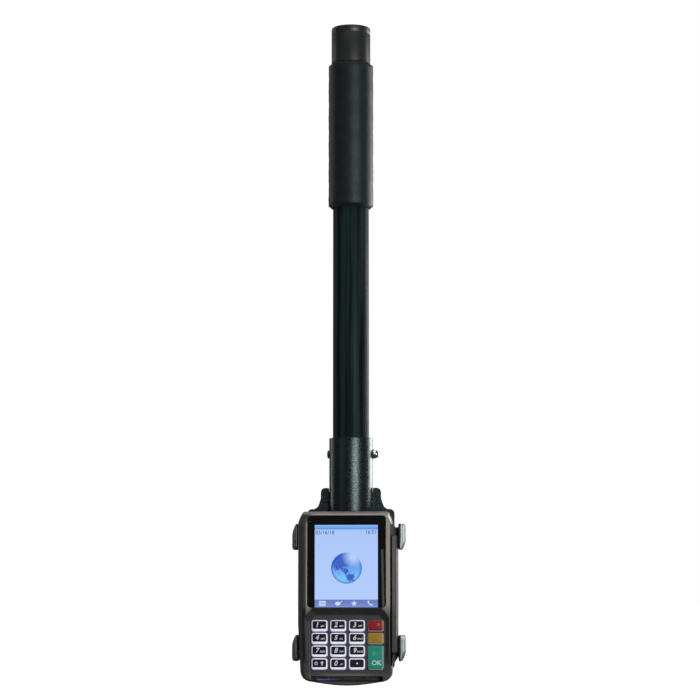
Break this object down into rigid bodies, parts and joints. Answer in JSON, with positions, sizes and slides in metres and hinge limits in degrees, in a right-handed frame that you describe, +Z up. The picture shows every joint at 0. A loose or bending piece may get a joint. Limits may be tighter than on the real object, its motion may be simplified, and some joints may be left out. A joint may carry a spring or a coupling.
{
  "type": "card payment terminal in a hand-held pole holder",
  "caption": "Card payment terminal with keypad and colour display, gripped by sliding clamps on a steel plate at the end of a foam-gripped pole.",
  "frame": {"origin": "on the pole axis at the middle of the foam grip, where a hand holds it", "axes": "+Z up along the pole, away from the terminal; -Y is the way the screen faces; +X is to the right of someone reading the screen"},
  "size_m": [0.0978, 0.0646, 0.5807],
  "materials": {
    "powder_coat": "satin black powder coat, lightly textured",
    "gloss_black_tube": "smooth glossy black",
    "grip_foam": "matt black foam with a fine skin",
    "pad_rubber": "satin moulded rubber",
    "bright_steel": "bright plated",
    "dark_steel": "black oxide",
    "terminal_plastic": "fine satin grain, dark warm grey",
    "window_black": "polished black",
    "lcd": "lit colour display",
    "key_white": "translucent white moulding with a black printed top",
    "key_red": "satin red",
    "key_yellow": "satin yellow",
    "key_green": "satin green",
    "board_green": "green solder mask",
    "silicone": "matt grey silicone",
    "tin": "tin plated",
    "black_plastic": "satin black"
  },
  "bodies": {
    "holder_and_terminal": {"bracket_plate": "powder_coat", "chip_reader": "black_plastic", "coin_cell": "tin", "collar_bolt": "dark_steel", "collar_nut": "bright_steel", "contactless_antenna": "board_green", "display_window": "window_black", "foam_grip": "grip_foam", "hatch_screw": "dark_steel", "io_connector": "black_plastic", "keypad_membrane": "silicone", "lcd_module": "lcd", "magstripe_head": "tin", "main_board": "board_green", "pole_collar": "powder_coat", "pole_end_cap": "black_plastic", "pole_tube": "gloss_black_tube", "rear_hatch": "terminal_plastic", "rubber_foot_lower": "pad_rubber", "rubber_foot_upper": "pad_rubber", "speaker": "tin", "tamper_shield": "tin", "terminal_front_housing": "terminal_plastic", "terminal_rear_housing": "terminal_plastic", "terminal_screw_1": "dark_steel", "terminal_screw_2": "dark_steel", "terminal_screw_3": "dark_steel", "terminal_screw_4": "dark_steel"},
    "clamp_lower_left": {"clamp_arm_lower_left": "powder_coat", "clamp_pad_lower_left": "pad_rubber", "clamp_screw_lower_left": "dark_steel", "clamp_nut_lower_left": "dark_steel"},
    "clamp_lower_right": {"clamp_arm_lower_right": "powder_coat", "clamp_pad_lower_right": "pad_rubber", "clamp_screw_lower_right": "dark_steel", "clamp_nut_lower_right": "dark_steel"},
    "clamp_upper_left": {"clamp_arm_upper_left": "powder_coat", "clamp_pad_upper_left": "pad_rubber", "clamp_screw_upper_left": "dark_steel", "clamp_nut_upper_left": "dark_steel"},
    "clamp_upper_right": {"clamp_arm_upper_right": "powder_coat", "clamp_pad_upper_right": "pad_rubber", "clamp_screw_upper_right": "dark_steel", "clamp_nut_upper_right": "dark_steel"},
    "key_0_body": {"key_0": "key_white"},
    "key_1_body": {"key_1": "key_white"},
    "key_2_body": {"key_2": "key_white"},
    "key_3_body": {"key_3": "key_white"},
    "key_4_body": {"key_4": "key_white"},
    "key_5_body": {"key_5": "key_white"},
    "key_6_body": {"key_6": "key_white"},
    "key_7_body": {"key_7": "key_white"},
    "key_8_body": {"key_8": "key_white"},
    "key_9_body": {"key_9": "key_white"},
    "key_cancel_body": {"key_cancel": "key_red"},
    "key_clear_body": {"key_clear": "key_yellow"},
    "key_dot_body": {"key_dot": "key_white"},
    "key_enter_body": {"key_enter": "key_green"},
    "key_function_body": {"key_function": "key_white"}
  },
  "joints": [
    {"name": "clamp_lower_left_slide", "type": "slide", "parent": "holder_and_terminal", "child": "clamp_lower_left", "axis": [-1, 0, 0], "range_m": [0, 0.0105]},
    {"name": "clamp_lower_right_slide", "type": "slide", "parent": "holder_and_terminal", "child": "clamp_lower_right", "axis": [1, 0, 0], "range_m": [0, 0.0105]},
    {"name": "clamp_upper_left_slide", "type": "slide", "parent": "holder_and_terminal", "child": "clamp_upper_left", "axis": [-1, 0, 0], "range_m": [0, 0.0105]},
    {"name": "clamp_upper_right_slide", "type": "slide", "parent": "holder_and_terminal", "child": "clamp_upper_right", "axis": [1, 0, 0], "range_m": [0, 0.0105]},
    {"name": "key_0_press", "type": "slide", "parent": "holder_and_terminal", "child": "key_0_body", "axis": [0, 1, 0], "range_m": [0, 0.0012], "stiffness_N_per_m": 350},
    {"name": "key_1_press", "type": "slide", "parent": "holder_and_terminal", "child": "key_1_body", "axis": [0, 1, 0], "range_m": [0, 0.0012], "stiffness_N_per_m": 350},
    {"name": "key_2_press", "type": "slide", "parent": "holder_and_terminal", "child": "key_2_body", "axis": [0, 1, 0], "range_m": [0, 0.0012], "stiffness_N_per_m": 350},
    {"name": "key_3_press", "type": "slide", "parent": "holder_and_terminal", "child": "key_3_body", "axis": [0, 1, 0], "range_m": [0, 0.0012], "stiffness_N_per_m": 350},
    {"name": "key_4_press", "type": "slide", "parent": "holder_and_terminal", "child": "key_4_body", "axis": [0, 1, 0], "range_m": [0, 0.0012], "stiffness_N_per_m": 350},
    {"name": "key_5_press", "type": "slide", "parent": "holder_and_terminal", "child": "key_5_body", "axis": [0, 1, 0], "range_m": [0, 0.0012], "stiffness_N_per_m": 350},
    {"name": "key_6_press", "type": "slide", "parent": "holder_and_terminal", "child": "key_6_body", "axis": [0, 1, 0], "range_m": [0, 0.0012], "stiffness_N_per_m": 350},
    {"name": "key_7_press", "type": "slide", "parent": "holder_and_terminal", "child": "key_7_body", "axis": [0, 1, 0], "range_m": [0, 0.0012], "stiffness_N_per_m": 350},
    {"name": "key_8_press", "type": "slide", "parent": "holder_and_terminal", "child": "key_8_body", "axis": [0, 1, 0], "range_m": [0, 0.0012], "stiffness_N_per_m": 350},
    {"name": "key_9_press", "type": "slide", "parent": "holder_and_terminal", "child": "key_9_body", "axis": [0, 1, 0], "range_m": [0, 0.0012], "stiffness_N_per_m": 350},
    {"name": "key_cancel_press", "type": "slide", "parent": "holder_and_terminal", "child": "key_cancel_body", "axis": [0, 1, 0], "range_m": [0, 0.0012], "stiffness_N_per_m": 350},
    {"name": "key_clear_press", "type": "slide", "parent": "holder_and_terminal", "child": "key_clear_body", "axis": [0, 1, 0], "range_m": [0, 0.0012], "stiffness_N_per_m": 350},
    {"name": "key_dot_press", "type": "slide", "parent": "holder_and_terminal", "child": "key_dot_body", "axis": [0, 1, 0], "range_m": [0, 0.0012], "stiffness_N_per_m": 350},
    {"name": "key_enter_press", "type": "slide", "parent": "holder_and_terminal", "child": "key_enter_body", "axis": [0, 1, 0], "range_m": [0, 0.0012], "stiffness_N_per_m": 350},
    {"name": "key_function_press", "type": "slide", "parent": "holder_and_terminal", "child": "key_function_body", "axis": [0, 1, 0], "range_m": [0, 0.0012], "stiffness_N_per_m": 350}
  ]
}
